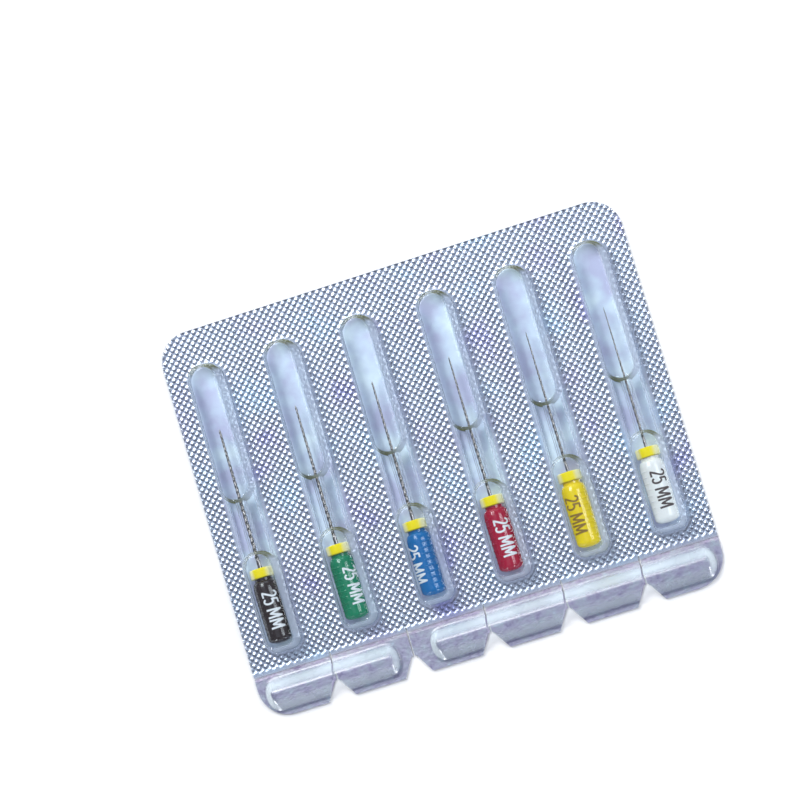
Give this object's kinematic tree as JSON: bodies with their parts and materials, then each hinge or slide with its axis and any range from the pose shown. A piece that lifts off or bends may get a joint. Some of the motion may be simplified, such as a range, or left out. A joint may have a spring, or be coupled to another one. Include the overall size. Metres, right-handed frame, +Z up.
{
  "type": "blister pack of endodontic hand files",
  "caption": "Flat clear blister pack with a foil back and tear-off tabs, holding a row of colour-coded root canal hand files with silicone stops, one in each cell.",
  "frame": {"origin": "under the middle of the pack, on the surface it lies on", "axes": "+X along the row of cells, +Y from the tear-off tabs towards the far edge, +Z up out of the clear blister"},
  "size_m": [0.078, 0.064, 0.0049],
  "materials": {
    "label": "satin printed label film",
    "foil": "satin heat-seal lidding foil with a knurled seal",
    "clear": "clear thermoformed blister film",
    "steel": "ground stainless steel",
    "stop": "translucent yellow silicone",
    "grip_40": "moulded coloured plastic",
    "grip_35": "moulded coloured plastic",
    "grip_30": "moulded coloured plastic",
    "grip_25": "moulded coloured plastic",
    "grip_20": "moulded coloured plastic",
    "grip_15": "moulded coloured plastic"
  },
  "bodies": {
    "lid": {"label": "label", "lid_foil": "foil"},
    "tray": {"blister_tray": "clear"},
    "tab_1": {"tab_shell_1": "clear", "tab_foil_1": "foil"},
    "tab_2": {"tab_shell_2": "clear", "tab_foil_2": "foil"},
    "tab_3": {"tab_shell_3": "clear", "tab_foil_3": "foil"},
    "tab_4": {"tab_shell_4": "clear", "tab_foil_4": "foil"},
    "tab_5": {"tab_shell_5": "clear", "tab_foil_5": "foil"},
    "tab_6": {"tab_shell_6": "clear", "tab_foil_6": "foil"},
    "file_40": {"handle_40": "grip_40", "blade_40": "steel"},
    "stopper_40": {"stop_40": "stop"},
    "file_35": {"handle_35": "grip_35", "blade_35": "steel"},
    "stopper_35": {"stop_35": "stop"},
    "file_30": {"handle_30": "grip_30", "blade_30": "steel"},
    "stopper_30": {"stop_30": "stop"},
    "file_25": {"handle_25": "grip_25", "blade_25": "steel"},
    "stopper_25": {"stop_25": "stop"},
    "file_20": {"handle_20": "grip_20", "blade_20": "steel"},
    "stopper_20": {"stop_20": "stop"},
    "file_15": {"handle_15": "grip_15", "blade_15": "steel"},
    "stopper_15": {"stop_15": "stop"}
  },
  "joints": [
    {"name": "tray_peel", "type": "hinge", "parent": "lid", "child": "tray", "pos_m": [0, 0.032, 0.00025], "axis": [-1, 0, 0], "range_deg": [0, 110]},
    {"name": "tab_1_fold", "type": "hinge", "parent": "lid", "child": "tab_1", "pos_m": [-0.0325, -0.02494, 0.00025], "axis": [-1, 0, 0], "range_deg": [0, 90]},
    {"name": "tab_2_fold", "type": "hinge", "parent": "lid", "child": "tab_2", "pos_m": [-0.0195, -0.02494, 0.00025], "axis": [-1, 0, 0], "range_deg": [0, 90]},
    {"name": "tab_3_fold", "type": "hinge", "parent": "lid", "child": "tab_3", "pos_m": [-0.0065, -0.02494, 0.00025], "axis": [-1, 0, 0], "range_deg": [0, 90]},
    {"name": "tab_4_fold", "type": "hinge", "parent": "lid", "child": "tab_4", "pos_m": [0.0065, -0.02494, 0.00025], "axis": [-1, 0, 0], "range_deg": [0, 90]},
    {"name": "tab_5_fold", "type": "hinge", "parent": "lid", "child": "tab_5", "pos_m": [0.0195, -0.02494, 0.00025], "axis": [-1, 0, 0], "range_deg": [0, 90]},
    {"name": "tab_6_fold", "type": "hinge", "parent": "lid", "child": "tab_6", "pos_m": [0.0325, -0.02494, 0.00025], "axis": [-1, 0, 0], "range_deg": [0, 90]},
    {"name": "file_40_play", "type": "slide", "parent": "lid", "child": "file_40", "axis": [0, 1, 0], "range_m": [-0.0005, 0.0005]},
    {"name": "stop_40_slide", "type": "slide", "parent": "file_40", "child": "stopper_40", "axis": [0, 1, 0], "range_m": [0, 0.0007]},
    {"name": "file_35_play", "type": "slide", "parent": "lid", "child": "file_35", "axis": [0, 1, 0], "range_m": [-0.0005, 0.0005]},
    {"name": "stop_35_slide", "type": "slide", "parent": "file_35", "child": "stopper_35", "axis": [0, 1, 0], "range_m": [0, 0.0007]},
    {"name": "file_30_play", "type": "slide", "parent": "lid", "child": "file_30", "axis": [0, 1, 0], "range_m": [-0.0005, 0.0005]},
    {"name": "stop_30_slide", "type": "slide", "parent": "file_30", "child": "stopper_30", "axis": [0, 1, 0], "range_m": [0, 0.0007]},
    {"name": "file_25_play", "type": "slide", "parent": "lid", "child": "file_25", "axis": [0, 1, 0], "range_m": [-0.0005, 0.0005]},
    {"name": "stop_25_slide", "type": "slide", "parent": "file_25", "child": "stopper_25", "axis": [0, 1, 0], "range_m": [0, 0.0007]},
    {"name": "file_20_play", "type": "slide", "parent": "lid", "child": "file_20", "axis": [0, 1, 0], "range_m": [-0.0005, 0.0005]},
    {"name": "stop_20_slide", "type": "slide", "parent": "file_20", "child": "stopper_20", "axis": [0, 1, 0], "range_m": [0, 0.0007]},
    {"name": "file_15_play", "type": "slide", "parent": "lid", "child": "file_15", "axis": [0, 1, 0], "range_m": [-0.0005, 0.0005]},
    {"name": "stop_15_slide", "type": "slide", "parent": "file_15", "child": "stopper_15", "axis": [0, 1, 0], "range_m": [0, 0.0007]}
  ]
}
